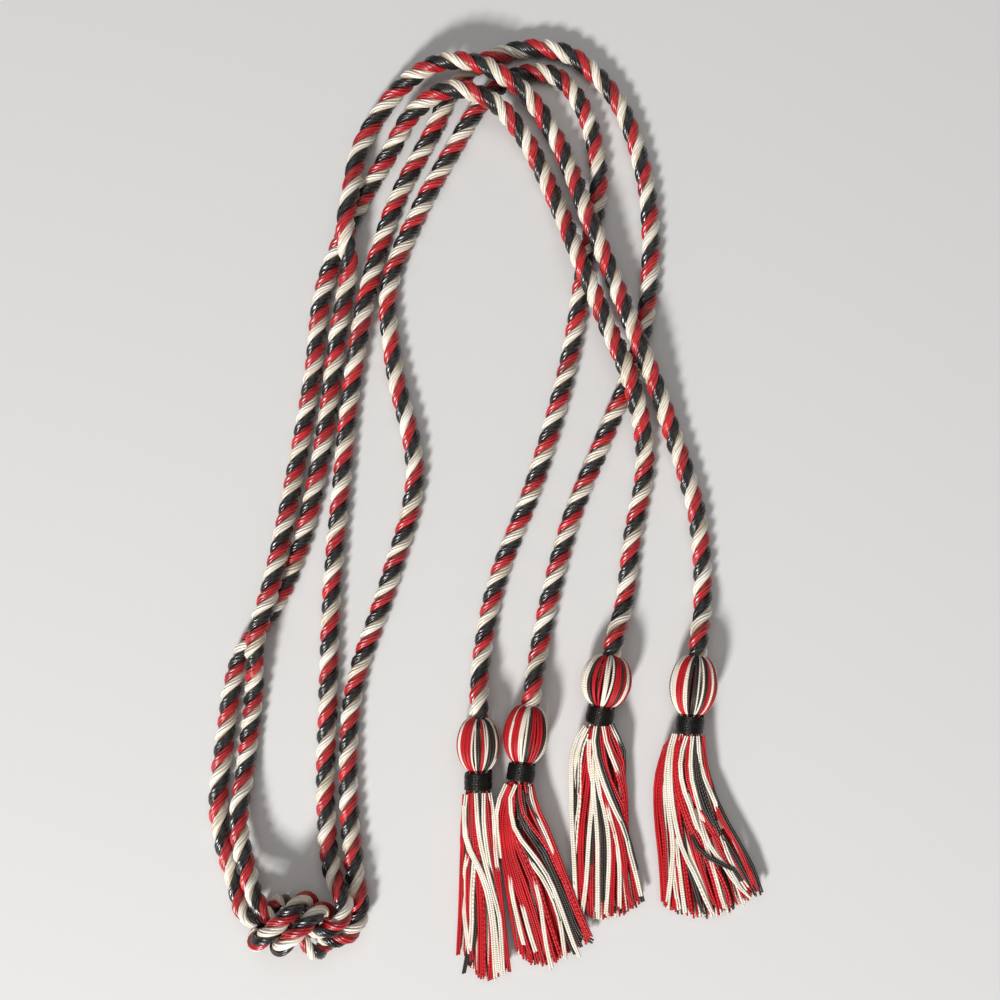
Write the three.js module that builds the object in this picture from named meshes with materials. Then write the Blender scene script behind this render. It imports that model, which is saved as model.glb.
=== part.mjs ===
// Honor cord: two twisted cords lie side by side in an arch, are tied together once by an overhand knot
// and end in four tassels. It lies flat with +Z up and its long side along Y, and the origin is under the
// middle of its box. Lengths are in mm.
import * as THREE from 'three';

const cord_diameter = 7.6;
const cord_sides = 8;
const steps_per_point = 2;
const butt_gap = 0.5;

const head_long = 21;
const head_wide = 18.5;
const head_flatness = 0.94;
const neck_diameter = 9.2;
const neck_height = 7.2;
const yarn_ribs = 12;
const rib_depth = 0.08;

const band_long = 7;
const band_wall = 0.8;
const band_clearance = 0.3;
const band_segments = 16;

const skirt_long = 75;
const skirt_thick = 7.2;
const skirt_rings = 8;
const tip_rag = 1.6;

// The middle of the box lies this far from where the layout's own points are measured
const layout_shift = [6.3, -4.2, 0];

// The knot has its own frame: its middle, and the turn from X to the run of its core
const knot_place = [-76.0, -162.6];
const knot_turn = THREE.MathUtils.degToRad(-28);

// Each cord's route, chosen by hand: x, y and height of its middle line. Inside the knot a row is counted
// from knot_place along and across the core, and its last value is the cord's girth where it is pulled tight.
const cord_1_lead = [
  [76.2, -61.9, 9.3], [77.1, -56.1, 9.7], [79.6, -41.5, 4.8], [78.1, -6.6, 4.1], [69.0, 25.4, 5.2],
  [56.0, 59.6, 12.4], [46.7, 86.1, 9.0], [37.0, 109.9, 12.4], [25.5, 144.5, 5.2], [13.2, 164.8, 7.2],
  [1.6, 173.1, 12.6], [-13.1, 179.7, 12.4], [-28.7, 178.4, 10.5], [-43.0, 169.3, 4.8], [-56.7, 146.6, 5.4],
  [-60.3, 124.4, 10.8], [-62.3, 106.6, 12.4], [-61.0, 93.5, 7.8], [-65.0, 68.7, 4.4], [-70.3, 23.6, 4.1],
  [-77.9, -14.5, 4.0], [-87.3, -40.3, 4.0], [-101.6, -63.7, 4.0], [-106.6, -94.5, 4.0], [-108.1, -122.9, 4.0],
];
const cord_1_knot = [
  [-28, 0.8, 5.5, 1], [-19.6, -6.3, 9, 0.9], [-12.8, -5.8, 10.7, 0.75], [-6.6, -3.2, 9.6, 0.62],
  [-2.4, -3.1, 9.5, 0.6], [0.6, -3.8, 9.2, 0.63], [3.3, -3.6, 7.4, 0.7], [4.5, -1.3, 4.9, 0.76],
  [4, 2.1, 3.9, 0.83], [1.9, 5.5, 4.4, 0.87], [-0.2, 8.8, 8, 0.9], [-2.1, 9.4, 15, 0.9],
  [-3.6, 5.7, 20.2, 0.9], [-5.5, 0, 21.1, 0.9], [-7.6, -5.6, 20.5, 0.9], [-9.4, -10.6, 16.6, 0.9],
  [-10.7, -12.8, 11.4, 0.92], [-11.5, -12, 6.8, 0.92], [-12.2, -8.2, 4.1, 0.9], [-12.4, -3, 3.7, 0.86],
  [-11.8, 1.5, 4.4, 0.78], [-9.2, 4.6, 7.2, 0.67], [-5.3, 4.8, 11.3, 0.62], [-0.9, 2.9, 14.2, 0.6],
  [3.4, 1.9, 14.9, 0.63], [9, 2.9, 15.4, 0.74], [13.6, 8, 14.2, 0.86], [12.0, 14.8, 11.9, 0.92],
];
const cord_1_tail = [
  [-63.9, -144.0, 6.4], [-67.2, -117.3, 4.1], [-66.9, -79.1, 4.0], [-66.1, -36.3, 4.0], [-62.9, 7.5, 4.0],
  [-60.2, 39.9, 4.2], [-55.8, 70.0, 7.4], [-51.2, 94.5, 4.6], [-42.2, 123.5, 4.0], [-28.9, 150.2, 4.0],
  [-17.0, 174.5, 4.0], [2.1, 187.2, 4.0], [25.8, 187.7, 4.0], [46.4, 169.7, 4.0], [58.8, 136.4, 4.0],
  [61.5, 100.2, 4.0], [56.5, 62.6, 4.0], [42.4, 26.1, 4.0], [28.1, -8.6, 4.0], [18.9, -42.2, 4.0],
  [14.8, -62.9, 4.8], [12.7, -75.3, 9.4], [11.6, -81.0, 9.0],
];
const cord_2_lead = [
  [43.0, -61.9, 9.3], [44.2, -56.5, 9.7], [48.6, -42.7, 4.8], [52.2, -16.5, 4.1], [57.7, 15.4, 4.8],
  [51.8, 46.2, 12.4], [42.9, 69.9, 9.0], [33.2, 92.9, 12.4], [23.3, 121.8, 5.2], [9.9, 149.8, 5.8],
  [-3.3, 162.5, 12.2], [-19.6, 167.6, 12.4], [-34.4, 160.1, 9.0], [-46.5, 141.3, 4.5], [-61.7, 112.9, 4.0],
  [-71.4, 85.5, 4.0], [-75.2, 50.2, 4.0], [-80.9, 13.5, 4.2], [-84.9, -13.0, 8.0], [-89.1, -36.9, 12.2],
  [-94.4, -57.0, 12.2], [-95.5, -76.1, 5.8], [-98.2, -104.0, 4.2], [-99.4, -126.2, 9.0],
];
const cord_2_knot = [
  [-24.3, 5.9, 10.4, 1], [-17.8, 1.2, 13.4, 0.88], [-12.2, -1.2, 15.1, 0.7], [-6.6, -2.6, 14.5, 0.62],
  [-0.4, -2.6, 14.4, 0.6], [4.8, -3.4, 14, 0.62], [8.8, -5.6, 12.2, 0.68], [11.5, -6, 8.5, 0.76],
  [12.6, -3.2, 5, 0.82], [12.1, 1, 3.8, 0.86], [10.5, 5, 4.3, 0.87], [7.9, 8.2, 7.4, 0.88],
  [5.9, 9.2, 12.4, 0.88], [4.8, 8.4, 17.9, 0.89], [2.9, 2.6, 21.2, 0.9], [0.5, -4, 20.7, 0.9],
  [-1.3, -8.8, 16.7, 0.9], [-2.7, -9.8, 10.6, 0.9], [-3.8, -7.8, 5.4, 0.88], [-4.6, -4, 3.7, 0.82],
  [-5.4, -0.1, 3.9, 0.75], [-4.4, 2.3, 6, 0.67], [-1.8, 2.6, 8.4, 0.62], [2.4, 2.2, 9.4, 0.61],
  [7, 1.2, 9.7, 0.64], [12.4, 0.6, 10.2, 0.78], [18, 4.6, 8.6, 0.94], [18.7, 12.8, 5.6, 0.99],
];
const cord_2_tail = [
  [-55.8, -143.2, 4.3], [-58.4, -113.5, 4.0], [-56.9, -75.3, 4.0], [-44.1, -34.4, 4.0], [-33.8, 9.5, 4.0],
  [-42.7, 54.3, 4.0], [-45.0, 85.5, 4.0], [-35.1, 114.2, 4.0], [-19.8, 144.1, 4.0], [-6.2, 166.7, 4.0],
  [7.9, 177.6, 4.0], [23.2, 177.1, 4.0], [34.7, 162.3, 4.0], [40.6, 132.1, 4.0], [34.2, 93.9, 4.0],
  [27.4, 54.3, 4.0], [13.9, 6.7, 4.0], [-1.6, -34.4, 4.0], [-7.0, -61.8, 4.6], [-8.1, -79.9, 9.4],
  [-8.1, -85.6, 9.0],
];

// How each tassel lies. Head and width are shares of the named sizes. The fringe's left and right edges and
// its middle tip are shares of skirt_long, across and along from the neck's end.
const tassel_lies = {
  tassel_1: {
    turn: -0.7, head: 0.94, width: 0.935,
    left: [[-0.09, 0.2], [-0.08, 0.47], [-0.1, 0.79]],
    right: [[0.08, 0.2], [0.11, 0.47], [0.16, 0.87]],
    tip: [0.04, 0.95],
  },
  tassel_2: {
    turn: -7.9, head: 1.02, width: 0.97,
    left: [[-0.11, 0.21], [-0.08, 0.47], [-0.02, 0.84]],
    right: [[0.11, 0.21], [0.205, 0.465], [0.34, 0.79]],
    tip: [0.125, 0.92],
  },
  tassel_3: {
    turn: -10.8, head: 0.9, width: 1.075,
    left: [[-0.14, 0.22], [-0.125, 0.54], [-0.12, 0.9]],
    right: [[0.14, 0.22], [0.15, 0.54], [0.22, 0.9]],
    tip: [0.02, 0.99],
  },
  tassel_4: {
    turn: -6.6, head: 1.06, width: 1.02,
    left: [[-0.15, 0.22], [-0.16, 0.52], [-0.15, 0.86]],
    right: [[0.12, 0.25], [0.22, 0.52], [0.35, 0.81]],
    tip: [0.09, 0.93],
  },
};

// The head's outline, as shares of half its width and of its length
const head_outline = [[0.46, 0], [0.68, 0.06], [0.87, 0.2], [0.99, 0.42], [0.99, 0.6], [0.87, 0.8], [0.66, 0.95]];

// The fringe's middle height and half its thickness from neck to tips, as shares of its thickness
const skirt_levels = [[0.47, 0.6], [0.37, 0.5], [0.3, 0.4]];

const cord_look = new THREE.MeshStandardMaterial({ color: 0xbe1e23, roughness: 0.5, metalness: 0 });
const tassel_look = new THREE.MeshStandardMaterial({ color: 0xc8484a, roughness: 0.55, metalness: 0 });
const band_look = new THREE.MeshStandardMaterial({ color: 0x232020, roughness: 0.7, metalness: 0 });

// A smooth line through chosen points that carries a girth at each of them. Steps follow the points, so the
// short turns in the knot get as many as the long laid stretches.
class GirthCurve extends THREE.CatmullRomCurve3 {
  constructor(rows) {
    super(rows.map(([x, y, z]) => new THREE.Vector3(x, y, z)), false, 'centripetal');
    this.girths = rows.map((row) => row[3] ?? 1);
  }

  getPointAt(t, target) {
    return this.getPoint(t, target);
  }

  getTangentAt(t, target) {
    return this.getTangent(t, target);
  }

  getSpacedPoints(divisions) {
    return this.getPoints(divisions);
  }

  girthAt(t) {
    const place = t * (this.girths.length - 1);
    const before = Math.min(Math.floor(place), this.girths.length - 2);
    return THREE.MathUtils.lerp(this.girths[before], this.girths[before + 1], place - before);
  }

  computeFrenetFrames(segments, closed) {
    const frames = super.computeFrenetFrames(segments, closed);
    for (let i = 0; i <= segments; i += 1) {
      const girth = this.girthAt(i / segments);
      frames.normals[i].multiplyScalar(girth);
      frames.binormals[i].multiplyScalar(girth);
    }
    return frames;
  }
}

function strand(rows, diameter, sides, steps) {
  const corners = [];
  for (let i = 0; i < sides; i += 1) {
    const angle = (2 * Math.PI * (i + 0.5)) / sides;
    corners.push(new THREE.Vector2(Math.cos(angle), Math.sin(angle)).multiplyScalar(diameter / 2));
  }
  return new THREE.ExtrudeGeometry(new THREE.Shape(corners), { steps, extrudePath: new GirthCurve(rows) });
}

function knotRow([along, across, height, girth]) {
  const x = knot_place[0] + along * Math.cos(knot_turn) - across * Math.sin(knot_turn);
  const y = knot_place[1] + along * Math.sin(knot_turn) + across * Math.cos(knot_turn);
  return [x, y, height, girth];
}

function cord(name, lead, knot, tail) {
  const rows = [...lead, ...knot.map(knotRow), ...tail];
  const steps = steps_per_point * (rows.length - 1);
  const mesh = new THREE.Mesh(strand(rows, cord_diameter, cord_sides, steps), cord_look);
  mesh.name = name;
  return mesh;
}

// The fringe's point at a share of its length and of its width: the edges are smooth lines through the lie's
// points, and towards the end the middle runs on to the middle tip
function fringeSpot(lie, along, across) {
  const [left, right] = [lie.left, lie.right].map((edge, side) => {
    const root = new THREE.Vector2(((side - 0.5) * neck_diameter) / skirt_long, 0);
    return new THREE.SplineCurve([root, ...edge.map((spot) => new THREE.Vector2(...spot))]);
  });
  const ends = [left.getPoint(1), right.getPoint(1)];
  const bulge = new THREE.Vector2(...lie.tip).sub(ends[0].lerp(ends[1], 0.5));
  const spot = left.getPoint(along).lerp(right.getPoint(along), across);
  return spot.addScaledVector(bulge, 4 * across * (1 - across) * along ** 4).multiplyScalar(skirt_long);
}

// A tassel is one turned body from the cord's end down -Y: head, neck, then the fringe's rings, which are
// spread flat on the surface below. Its ribs are the yarns.
function tassel(name, lie, end_height) {
  const long = head_long * lie.head;
  const half_wide = (head_wide * lie.width) / 2;
  const axis_long = long + band_long + 2 * band_clearance;
  const lean = Math.asin((end_height - neck_height) / axis_long);
  const turn = new THREE.Quaternion().setFromEuler(
    new THREE.Euler(lean, 0, THREE.MathUtils.degToRad(lie.turn), 'ZYX'),
  );
  const end = new THREE.Vector3(0, 0, end_height);
  const waist = new THREE.Vector3(0, -axis_long - butt_gap, 0).applyQuaternion(turn).add(end);

  const outline = [new THREE.Vector2(0, -butt_gap)];
  for (const [out, down] of head_outline) outline.push(new THREE.Vector2(out * half_wide, -down * long - butt_gap));
  outline.push(new THREE.Vector2(neck_diameter / 2, -long - butt_gap));
  outline.push(new THREE.Vector2(neck_diameter / 2, -axis_long - butt_gap));
  const turned_rings = outline.length;
  const skirt_root = outline.at(-1);
  for (let ring = 1; ring <= skirt_rings; ring += 1) {
    outline.push(new THREE.Vector2(1, skirt_root.y - (skirt_long * ring) / skirt_rings));
  }
  outline.push(new THREE.Vector2(0, skirt_root.y - skirt_long));

  const levels = new THREE.SplineCurve([
    new THREE.Vector2(neck_height, neck_diameter / 2),
    ...skirt_levels.map((level) => new THREE.Vector2(...level).multiplyScalar(skirt_thick)),
  ]);
  const body = new THREE.LatheGeometry(outline.reverse(), 2 * yarn_ribs);
  const place = body.attributes.position;
  const spot = new THREE.Vector3();
  for (let i = 0; i < place.count; i += 1) {
    const ring = outline.length - 1 - (i % outline.length);
    const valley = Math.floor(i / outline.length) % 2;
    const round = 1 - rib_depth * valley;
    spot.fromBufferAttribute(place, i);
    if (ring < turned_rings) {
      const in_head = spot.y > -long - butt_gap && ring > 0;
      if (in_head) spot.set(spot.x * round, spot.y, spot.z * round * head_flatness);
      spot.applyQuaternion(turn).add(end);
    } else {
      const along = Math.min((ring - turned_rings + 1) / skirt_rings, 1);
      const flat = fringeSpot(lie, along, (spot.x + 1) / 2);
      const level = levels.getPoint(along);
      const at_tip = ring - turned_rings + 1 === skirt_rings;
      const rag = at_tip ? tip_rag * valley : 0;
      spot.set(waist.x + flat.x, waist.y - flat.y + rag, level.x + level.y * spot.z * round);
    }
    place.setXYZ(i, spot.x, spot.y, Math.max(spot.z, 0));
  }
  const mesh = new THREE.Mesh(body, tassel_look);
  mesh.name = name;
  return { mesh, turn, waist };
}

// A band is a ring of wrapped thread around the neck, between the head and the fringe
function band(name, made) {
  const inner = neck_diameter / 2 + band_clearance;
  const half = band_long / 2;
  const outline = [
    [inner, -half], [inner + band_wall, -half], [inner + band_wall, half], [inner, half], [inner, -half],
  ].map(([out, along]) => new THREE.Vector2(out, along));
  const mesh = new THREE.Mesh(new THREE.LatheGeometry(outline, band_segments), band_look);
  mesh.name = name;
  mesh.quaternion.copy(made.turn);
  mesh.position.set(0, half + band_clearance, 0).applyQuaternion(made.turn).add(made.waist);
  return mesh;
}

const honor_cord = new THREE.Group();
const layout = new THREE.Group();
layout.position.set(...layout_shift);
honor_cord.add(layout);
layout.add(cord('cord_1', cord_1_lead, cord_1_knot, cord_1_tail));
layout.add(cord('cord_2', cord_2_lead, cord_2_knot, cord_2_tail));

const cord_ends = {
  tassel_1: cord_2_tail.at(-1), tassel_2: cord_1_tail.at(-1), tassel_3: cord_2_lead[0], tassel_4: cord_1_lead[0],
};
for (const [name, [x, y, height]] of Object.entries(cord_ends)) {
  const hung = new THREE.Group();
  hung.position.set(x, y, 0);
  const made = tassel(name, tassel_lies[name], height);
  hung.add(made.mesh, band(name.replace('tassel', 'band'), made));
  layout.add(hung);
}

export default honor_cord;
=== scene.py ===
# An honor cord laid out flat in an arch: two twisted rayon cords, tied together once near their middle and
# finished with four tassels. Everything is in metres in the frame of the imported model, and the table's top
# is at z = 0.
import math
import random

import bmesh
import bpy
import numpy as np
from mathutils import Euler, Matrix, Vector


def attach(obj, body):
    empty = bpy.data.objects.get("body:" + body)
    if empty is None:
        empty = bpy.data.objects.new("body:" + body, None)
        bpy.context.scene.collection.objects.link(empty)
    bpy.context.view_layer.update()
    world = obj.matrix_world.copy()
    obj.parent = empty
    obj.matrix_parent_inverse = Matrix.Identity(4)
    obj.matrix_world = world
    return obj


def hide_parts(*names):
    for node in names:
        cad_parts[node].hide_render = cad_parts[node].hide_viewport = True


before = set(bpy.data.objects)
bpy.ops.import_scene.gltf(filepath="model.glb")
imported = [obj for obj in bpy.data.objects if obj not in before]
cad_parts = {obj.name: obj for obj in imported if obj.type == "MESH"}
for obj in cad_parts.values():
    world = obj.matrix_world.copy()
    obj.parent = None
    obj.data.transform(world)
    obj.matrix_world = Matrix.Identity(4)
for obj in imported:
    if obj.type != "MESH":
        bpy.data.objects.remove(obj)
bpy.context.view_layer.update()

# The view: the camera hangs over the table and leans a little towards the tassels' end. The layout's points
# are measured from the middle of the picture, and layout_shift carries that point to where the model has it.
layout_shift = Vector((0.0063, -0.0042, 0.0))
camera_distance = 0.550
camera_lean = math.radians(8)
camera = bpy.data.objects.new("camera", bpy.data.cameras.new("camera"))
camera.data.sensor_width = 36
camera.data.lens = 49.5
camera.data.clip_start = 0.01
camera.rotation_euler = (camera_lean, 0, 0)
camera.location = layout_shift + camera_distance * Vector((0, -math.sin(camera_lean), math.cos(camera_lean)))
bpy.context.scene.collection.objects.link(camera)
bpy.context.scene.camera = camera

# The two cords: each is three plies of bright rayon, one red, one ivory and one black, laid up right-handed
# on a ropewalk. They were tied together while soft, so the knot squeezes them. A row is x, y and height.
# Inside the knot it is counted along and across the knot's core, and its last value is the girth there.
cord_1_lead = [
    (0.0762, -0.0619, 0.0093), (0.0771, -0.0561, 0.0097), (0.0796, -0.0415, 0.0048),
    (0.0781, -0.0066, 0.0041), (0.0690, 0.0254, 0.0052), (0.0560, 0.0596, 0.0124),
    (0.0467, 0.0861, 0.0090), (0.0370, 0.1099, 0.0124), (0.0255, 0.1445, 0.0052),
    (0.0132, 0.1648, 0.0072), (0.0016, 0.1731, 0.0126), (-0.0131, 0.1797, 0.0124),
    (-0.0287, 0.1784, 0.0105), (-0.0430, 0.1693, 0.0048), (-0.0567, 0.1466, 0.0054),
    (-0.0603, 0.1244, 0.0108), (-0.0623, 0.1066, 0.0124), (-0.0610, 0.0935, 0.0078),
    (-0.0650, 0.0687, 0.0044), (-0.0703, 0.0236, 0.0041), (-0.0779, -0.0145, 0.0040),
    (-0.0873, -0.0403, 0.0040), (-0.1016, -0.0637, 0.0040), (-0.1066, -0.0945, 0.0040),
    (-0.1081, -0.1229, 0.0040),
]
cord_1_knot = [
    (-0.0280, 0.0008, 0.0055, 1), (-0.0196, -0.0063, 0.0090, 0.9), (-0.0128, -0.0058, 0.0107, 0.75),
    (-0.0066, -0.0032, 0.0096, 0.62), (-0.0024, -0.0031, 0.0095, 0.6), (0.0006, -0.0038, 0.0092, 0.63),
    (0.0033, -0.0036, 0.0074, 0.7), (0.0045, -0.0013, 0.0049, 0.76), (0.0040, 0.0021, 0.0039, 0.83),
    (0.0019, 0.0055, 0.0044, 0.87), (-0.0002, 0.0088, 0.0080, 0.9), (-0.0021, 0.0094, 0.0150, 0.9),
    (-0.0036, 0.0057, 0.0202, 0.9), (-0.0055, 0.0000, 0.0211, 0.9), (-0.0076, -0.0056, 0.0205, 0.9),
    (-0.0094, -0.0106, 0.0166, 0.9), (-0.0107, -0.0128, 0.0114, 0.92), (-0.0115, -0.0120, 0.0068, 0.92),
    (-0.0122, -0.0082, 0.0041, 0.9), (-0.0124, -0.0030, 0.0037, 0.86), (-0.0118, 0.0015, 0.0044, 0.78),
    (-0.0092, 0.0046, 0.0072, 0.67), (-0.0053, 0.0048, 0.0113, 0.62), (-0.0009, 0.0029, 0.0142, 0.6),
    (0.0034, 0.0019, 0.0149, 0.63), (0.0090, 0.0029, 0.0154, 0.74), (0.0136, 0.0080, 0.0142, 0.86),
    (0.0120, 0.0148, 0.0119, 0.92),
]
cord_1_tail = [
    (-0.0639, -0.1440, 0.0064), (-0.0672, -0.1173, 0.0041), (-0.0669, -0.0791, 0.0040),
    (-0.0661, -0.0363, 0.0040), (-0.0629, 0.0075, 0.0040), (-0.0602, 0.0399, 0.0042),
    (-0.0558, 0.0700, 0.0074), (-0.0512, 0.0945, 0.0046), (-0.0422, 0.1235, 0.0040),
    (-0.0289, 0.1502, 0.0040), (-0.0170, 0.1745, 0.0040), (0.0021, 0.1872, 0.0040),
    (0.0258, 0.1877, 0.0040), (0.0464, 0.1697, 0.0040), (0.0588, 0.1364, 0.0040),
    (0.0615, 0.1002, 0.0040), (0.0565, 0.0626, 0.0040), (0.0424, 0.0261, 0.0040),
    (0.0281, -0.0086, 0.0040), (0.0189, -0.0422, 0.0040), (0.0148, -0.0629, 0.0048),
    (0.0127, -0.0753, 0.0094), (0.0116, -0.0810, 0.0090),
]
cord_2_lead = [
    (0.0430, -0.0619, 0.0093), (0.0442, -0.0565, 0.0097), (0.0486, -0.0427, 0.0048),
    (0.0522, -0.0165, 0.0041), (0.0577, 0.0154, 0.0048), (0.0518, 0.0462, 0.0124),
    (0.0429, 0.0699, 0.0090), (0.0332, 0.0929, 0.0124), (0.0233, 0.1218, 0.0052),
    (0.0099, 0.1498, 0.0058), (-0.0033, 0.1625, 0.0122), (-0.0196, 0.1676, 0.0124),
    (-0.0344, 0.1601, 0.0090), (-0.0465, 0.1413, 0.0045), (-0.0617, 0.1129, 0.0040),
    (-0.0714, 0.0855, 0.0040), (-0.0752, 0.0502, 0.0040), (-0.0809, 0.0135, 0.0042),
    (-0.0849, -0.0130, 0.0080), (-0.0891, -0.0369, 0.0122), (-0.0944, -0.0570, 0.0122),
    (-0.0955, -0.0761, 0.0058), (-0.0982, -0.1040, 0.0042), (-0.0994, -0.1262, 0.0090),
]
cord_2_knot = [
    (-0.0243, 0.0059, 0.0104, 1), (-0.0178, 0.0012, 0.0134, 0.88), (-0.0122, -0.0012, 0.0151, 0.7),
    (-0.0066, -0.0026, 0.0145, 0.62), (-0.0004, -0.0026, 0.0144, 0.6), (0.0048, -0.0034, 0.0140, 0.62),
    (0.0088, -0.0056, 0.0122, 0.68), (0.0115, -0.0060, 0.0085, 0.76), (0.0126, -0.0032, 0.0050, 0.82),
    (0.0121, 0.0010, 0.0038, 0.86), (0.0105, 0.0050, 0.0043, 0.87), (0.0079, 0.0082, 0.0074, 0.88),
    (0.0059, 0.0092, 0.0124, 0.88), (0.0048, 0.0084, 0.0179, 0.89), (0.0029, 0.0026, 0.0212, 0.9),
    (0.0005, -0.0040, 0.0207, 0.9), (-0.0013, -0.0088, 0.0167, 0.9), (-0.0027, -0.0098, 0.0106, 0.9),
    (-0.0038, -0.0078, 0.0054, 0.88), (-0.0046, -0.0040, 0.0037, 0.82), (-0.0054, -0.0001, 0.0039, 0.75),
    (-0.0044, 0.0023, 0.0060, 0.67), (-0.0018, 0.0026, 0.0084, 0.62), (0.0024, 0.0022, 0.0094, 0.61),
    (0.0070, 0.0012, 0.0097, 0.64), (0.0124, 0.0006, 0.0102, 0.78), (0.0180, 0.0046, 0.0086, 0.94),
    (0.0187, 0.0128, 0.0056, 0.99),
]
cord_2_tail = [
    (-0.0558, -0.1432, 0.0043), (-0.0584, -0.1135, 0.0040), (-0.0569, -0.0753, 0.0040),
    (-0.0441, -0.0344, 0.0040), (-0.0338, 0.0095, 0.0040), (-0.0427, 0.0543, 0.0040),
    (-0.0450, 0.0855, 0.0040), (-0.0351, 0.1142, 0.0040), (-0.0198, 0.1441, 0.0040),
    (-0.0062, 0.1667, 0.0040), (0.0079, 0.1776, 0.0040), (0.0232, 0.1771, 0.0040),
    (0.0347, 0.1623, 0.0040), (0.0406, 0.1321, 0.0040), (0.0342, 0.0939, 0.0040),
    (0.0274, 0.0543, 0.0040), (0.0139, 0.0067, 0.0040), (-0.0016, -0.0344, 0.0040),
    (-0.0070, -0.0618, 0.0046), (-0.0081, -0.0799, 0.0094), (-0.0081, -0.0856, 0.0090),
]
# How far each cord has turned on itself, in whole turns, at some distances in millimetres from its first
# tassel. The lay of a laid cord opens and tightens from about 15 to 21 mm, and opens most over the knot.
cord_1_turns = [
    (0, -0.45), (96, 5), (203, 11), (309, 17), (392, 21), (476, 26), (592, 33), (647, 36), (719, 40.5),
    (733, 41.4), (785, 44.4), (819, 46.4), (1002, 57.4), (1113, 63.4), (1194, 67.4), (1306, 73.4),
    (1346, 75.4), (1398, 78.4), (1474, 82.8),
]
cord_2_turns = [
    (0, -0.45), (111, 6), (201, 11), (252, 14), (307, 17), (359, 20), (441, 25), (506, 29), (563, 33),
    (582, 34), (615, 36), (687, 40.35), (703, 41.0), (741, 43.3), (777, 45.3), (842, 49.3), (908, 53.3),
    (998, 58.3), (1069, 62.3), (1088, 63.3), (1133, 66.3), (1164, 68.3), (1185, 69.3), (1239, 72.3),
    (1308, 76.3), (1374, 80.3), (1402, 81.9),
]
knot_place = Vector((-0.0760, -0.1626))
knot_turn = math.radians(-28)
cord_1_long = 1.481
cord_2_long = 1.410
cord_diameter = 0.0077
first_turn = 0.68
tail_in_head = 0.004
ring_step = 0.0012
plies = 3
yarns_in_ply = 4
points_in_yarn = 5
mm = 0.001
yarn_wide = math.pi * cord_diameter / (plies * yarns_in_ply)
# The cord's section, in shares of its half thickness: where a ply's middle lies, how far the ply reaches
# from there, and how deep the grooves between its yarns are. Plies and yarns swell a little along the cord.
half_thickness = 0.51
ply_middle = 0.43
ply_reach = 0.57
yarn_groove = 0.13
swell = 0.02
ply_swell_run = 0.021
yarn_swell_run = 0.013


def knot_rows(rows):
    """The rows inside the knot, carried to where the knot lies on the table."""
    cos, sin = math.cos(knot_turn), math.sin(knot_turn)
    placed = []
    for along, across, height, girth in rows:
        x = knot_place.x + along * cos - across * sin
        placed.append((x, knot_place.y + along * sin + across * cos, height, girth))
    return placed


def smooth_line(rows, steps=12):
    """The centripetal spline through the rows, with its girth at each point."""
    points = np.array([row[:3] for row in rows])
    girths = np.array([row[3] if len(row) > 3 else 1.0 for row in rows])
    ends = np.vstack([2 * points[0] - points[1], points, 2 * points[-1] - points[-2]])
    line, girth = [], []
    for i in range(len(points) - 1):
        before, start, stop, after = ends[i : i + 4]
        spans = (start - before, stop - start, after - stop)
        k0, k1, k2 = (np.linalg.norm(span) ** 0.5 for span in spans)
        leave = ((start - before) / k0 - (stop - before) / (k0 + k1) + (stop - start) / k1) * k1
        reach = ((stop - start) / k1 - (after - start) / (k1 + k2) + (after - stop) / k2) * k1
        for t in np.arange(steps) / steps:
            line.append(
                (2 * t**3 - 3 * t**2 + 1) * start + (t**3 - 2 * t**2 + t) * leave
                + (3 * t**2 - 2 * t**3) * stop + (t**3 - t**2) * reach
            )
            girth.append(girths[i] + (girths[i + 1] - girths[i]) * t)
    return np.array(line + [points[-1]]), np.array(girth + [girths[-1]])


def spaced_evenly(line, values, step):
    """The line again with its points one step apart, and its values at them."""
    run = np.concatenate([[0], np.cumsum(np.linalg.norm(np.diff(line, axis=0), axis=1))])
    places = np.linspace(0, run[-1], round(run[-1] / step) + 1)
    return np.stack([np.interp(places, run, line[:, k]) for k in range(3)], 1), np.interp(places, run, values)


def carried_frames(line):
    """For each point of a line, the two directions across it, carried along without twist."""
    heading = [Vector(d).normalized() for d in np.gradient(line, axis=0)]
    side = heading[0].orthogonal().normalized()
    frames = []
    for i, forward in enumerate(heading):
        if i:
            side = heading[i - 1].rotation_difference(forward) @ side
            side = (side - side.dot(forward) * forward).normalized()
        frames.append((side, forward.cross(side)))
    return frames


def linear(hex_colour):
    """An sRGB hex colour as linear red, green, blue and full cover."""
    parts = [int(hex_colour[i : i + 2], 16) / 255 for i in (0, 2, 4)]
    return (*(p / 12.92 if p <= 0.04045 else ((p + 0.055) / 1.055) ** 2.4 for p in parts), 1)


def add_node(tree, kind, inputs=None, **settings):
    """A node of the given kind, with its settings made and its inputs set or linked."""
    node = tree.nodes.new(kind)
    for name, value in settings.items():
        setattr(node, name, value)
    for socket, value in (inputs or {}).items():
        if isinstance(value, bpy.types.NodeSocket):
            tree.links.new(value, node.inputs[socket])
        else:
            node.inputs[socket].default_value = value
    return node


# Bright rayon's patterns, in millimetres: streaks along the filaments, slow patches along a yarn, and the
# painted shade in the grooves between yarns and between plies. Real filaments are about 0.02 mm wide, too
# fine to show, so the streaks are drawn eight times as coarse.
streak_wide, streak_long = 0.17, 5
patch_wide, patch_long = 1.6, 22
yarn_shade_wide, yarn_shade = 0.4, 0.5
ply_shade_wide, ply_shade = 1.6, 0.45
filament_height = 0.06


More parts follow.
